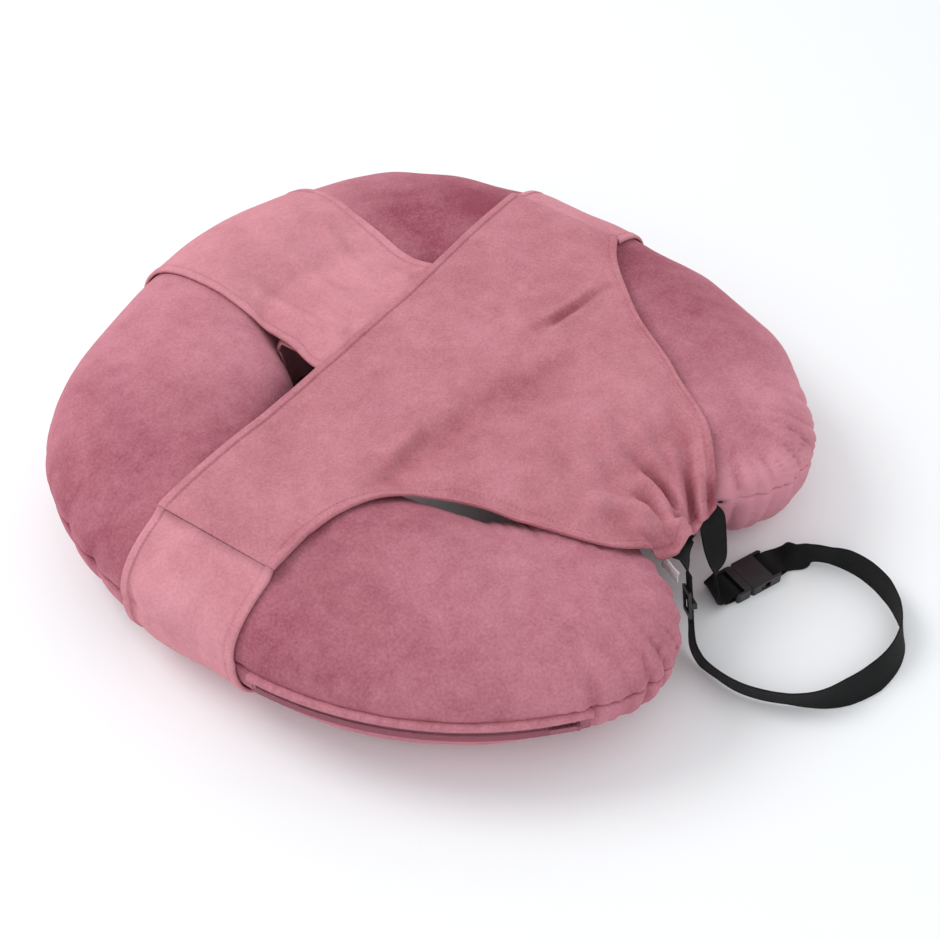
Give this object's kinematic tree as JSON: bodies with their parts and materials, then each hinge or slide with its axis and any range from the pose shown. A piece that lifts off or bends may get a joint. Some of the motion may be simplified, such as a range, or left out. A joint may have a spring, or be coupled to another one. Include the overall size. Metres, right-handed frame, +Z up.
{
  "type": "nursing pillow",
  "caption": "Horseshoe nursing cushion in a zipped velour cover, with a wrapped T-shaped seat panel, a back band and a webbing waist belt with a side-release buckle.",
  "frame": {"origin": "centre of the cushion and its harness in plan, on the surface it rests on, without the waist belt", "axes": "+Z up; +Y towards the closed end of the horseshoe, -Y towards the two arm tips; +X towards the right arm"},
  "size_m": [0.6065, 0.7432, 0.14],
  "materials": {
    "velour": "short-pile velour, dusty rose",
    "dark_velour": "woven zip tape, dark rose",
    "cotton": "plain woven cotton",
    "fibre": "loose polyester fibre",
    "webbing": "woven black webbing",
    "plastic": "fine satin black",
    "hook_tape": "hook and loop tape",
    "zip_plastic": "coil zip, rose",
    "zip_metal": "satin enamel, rose",
    "label": "blank satin ribbon"
  },
  "bodies": {
    "pillow": {"cover_top": "velour", "cover_bottom": "velour", "seat_panel": "velour", "wing_band_left": "velour", "wing_band_right": "velour", "back_band": "velour", "tail_patch": "velour", "zip_tape_upper": "dark_velour", "zip_tape_lower": "dark_velour", "inner_casing_top": "cotton", "inner_casing_bottom": "cotton", "fibre_fill": "fibre", "belt_short": "webbing", "belt_long": "webbing", "buckle_prong_body": "plastic", "wing_hook_pad_left": "hook_tape", "wing_loop_pad_left": "hook_tape", "wing_hook_pad_right": "hook_tape", "wing_loop_pad_right": "hook_tape", "back_hook_pad": "hook_tape", "back_loop_pad": "hook_tape", "zip_chain_upper": "zip_plastic", "zip_chain_lower": "zip_plastic", "zip_bottom_stop": "zip_plastic", "zip_top_stop_upper": "zip_plastic", "zip_top_stop_lower": "zip_plastic", "care_label": "label"},
    "zip_slider": {"zip_slider": "zip_metal"},
    "zip_pull": {"zip_pull": "zip_metal"},
    "buckle_socket": {"buckle_socket": "plastic"},
    "prong_left": {"buckle_prong_left": "plastic"},
    "prong_right": {"buckle_prong_right": "plastic"},
    "slide_adjuster": {"slide_adjuster": "plastic"}
  },
  "joints": [
    {"name": "zip_run", "type": "hinge", "parent": "pillow", "child": "zip_slider", "pos_m": [0.0115, -0.0345, 0.0595], "axis": [0, 0, 1], "range_deg": [-44.5, 0]},
    {"name": "zip_pull_swing", "type": "hinge", "parent": "zip_slider", "child": "zip_pull", "pos_m": [-0.19201, -0.27533, 0.0595], "axis": [0, 0, 1], "range_deg": [0, 150]},
    {"name": "buckle_release", "type": "slide", "parent": "pillow", "child": "buckle_socket", "axis": [0.9292, -0.3697, 0], "range_m": [0, 0.026], "deforming": ["belt_long", "buckle_prong_left", "buckle_prong_right"]},
    {"name": "prong_left_squeeze", "type": "hinge", "parent": "pillow", "child": "prong_left", "pos_m": [0.04592, -0.27925, 0.005], "axis": [0, 0, 1], "range_deg": [-11, 0], "stiffness_Nm_per_rad": 0.3},
    {"name": "prong_right_squeeze", "type": "hinge", "parent": "pillow", "child": "prong_right", "pos_m": [0.03978, -0.29468, 0.005], "axis": [0, 0, 1], "range_deg": [0, 11], "stiffness_Nm_per_rad": 0.3},
    {"name": "adjuster_slide", "type": "slide", "parent": "pillow", "child": "slide_adjuster", "axis": [0.4214, 0.3813, 0.8228], "range_m": [-0.009, 0.009]}
  ],
  "couplings": [
    {"joint": "prong_right_squeeze", "follows": "prong_left_squeeze", "ratio": -1}
  ]
}
